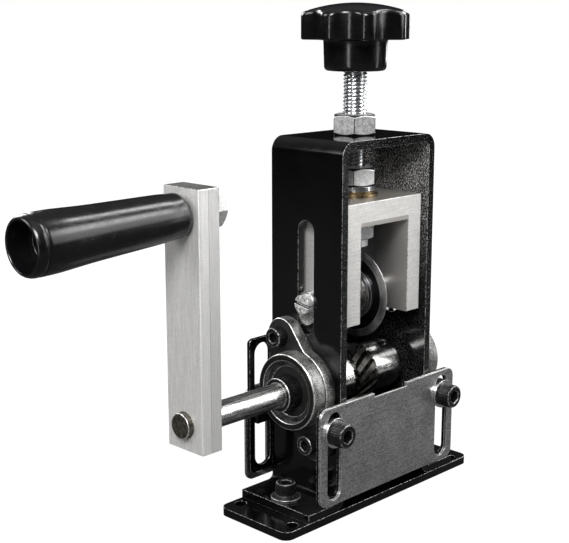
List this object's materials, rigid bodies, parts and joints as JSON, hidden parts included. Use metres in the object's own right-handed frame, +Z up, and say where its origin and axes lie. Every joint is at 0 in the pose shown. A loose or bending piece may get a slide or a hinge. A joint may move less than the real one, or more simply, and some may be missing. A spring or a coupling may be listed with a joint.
{
  "type": "manual cable stripping machine",
  "caption": "Hand-cranked cable stripper: black frame, toothed drive roller, round blade on an adjustable block, star knob on top, slotted guide plates at front and rear.",
  "frame": {"origin": "middle of the base plate's underside, on the bench", "axes": "X along the crank shaft with the crank at -X; -Y is the side where the cable comes out; Z up along the adjusting screw"},
  "size_m": [0.2221, 0.0586, 0.208],
  "materials": {
    "black_paint": "glossy black paint",
    "cast_housing": "satin die casting",
    "zinc_plated": "bright zinc plating",
    "black_oxide": "black oxide",
    "brushed_plate": "brushed stainless steel",
    "ground_steel": "ground bright steel",
    "milled_aluminium": "milled, with tool marks",
    "blade_steel": "dark hardened steel, ground edge",
    "brass": "turned brass",
    "black_plastic": "glossy black moulding",
    "seal_rubber": "matt black seal"
  },
  "bodies": {
    "frame": {"base_plate": "black_paint", "frame_bracket": "black_paint", "foot_screws": "black_oxide", "foot_spring_washers": "zinc_plated", "foot_flat_washers": "zinc_plated", "front_bracket": "black_paint", "rear_bracket": "black_paint", "left_bearing_housing": "cast_housing", "right_bearing_housing": "cast_housing", "bearing_outer_rings": "ground_steel", "bearing_balls": "ground_steel", "bearing_seals": "seal_rubber", "bearing_screws": "black_oxide", "top_nut": "zinc_plated", "guide_screws": "black_oxide", "guide_washers": "zinc_plated", "guide_nuts": "black_oxide"},
    "front_guide": {"front_guide_plate": "brushed_plate"},
    "rear_guide": {"rear_guide_plate": "brushed_plate"},
    "crank": {"crank_shaft": "ground_steel", "drive_wheel": "ground_steel", "wheel_grub_screw": "black_oxide", "bearing_inner_rings": "black_oxide", "collar_grub_screws": "black_oxide", "crank_arm": "milled_aluminium", "handle_bolt": "black_oxide", "handle_nut": "ground_steel"},
    "grip": {"handle_grip": "black_plastic"},
    "carriage": {"blade_block": "milled_aluminium", "slot_guides": "ground_steel", "blade_axle": "ground_steel", "spacer_sleeves": "ground_steel", "blade_inner_ring": "ground_steel", "blade_balls": "ground_steel", "brass_washers": "brass"},
    "blade": {"blade_disc": "blade_steel", "blade_outer_ring": "ground_steel"},
    "screw": {"adjusting_screw": "zinc_plated", "star_knob": "black_plastic", "clamp_nuts": "zinc_plated", "clamp_washer": "zinc_plated"}
  },
  "joints": [
    {"name": "front_guide_slide", "type": "slide", "parent": "frame", "child": "front_guide", "axis": [0, 0, 1], "range_m": [-0.0055, 0.0245]},
    {"name": "rear_guide_slide", "type": "slide", "parent": "frame", "child": "rear_guide", "axis": [0, 0, 1], "range_m": [-0.0055, 0.0245]},
    {"name": "crank_turn", "type": "hinge", "parent": "frame", "child": "crank", "pos_m": [0, 0, 0.0528], "axis": [1, 0, 0], "continuous": true},
    {"name": "grip_turn", "type": "hinge", "parent": "crank", "child": "grip", "pos_m": [-0.0943, 0, 0.1328], "axis": [0.9993, 0, 0.0384], "continuous": true},
    {"name": "carriage_slide", "type": "slide", "parent": "frame", "child": "carriage", "axis": [0, 0, 1], "range_m": [-0.0035, 0.009]},
    {"name": "blade_turn", "type": "hinge", "parent": "carriage", "child": "blade", "pos_m": [0, 0, 0.088], "axis": [1, 0, 0], "continuous": true},
    {"name": "knob_turn", "type": "hinge", "parent": "carriage", "child": "screw", "pos_m": [0, 0, 0.16], "axis": [0, 0, 1], "range_deg": [-845, 2165]}
  ],
  "couplings": [
    {"joint": "knob_turn", "follows": "carriage_slide", "rad_per_m": 4188.8}
  ]
}
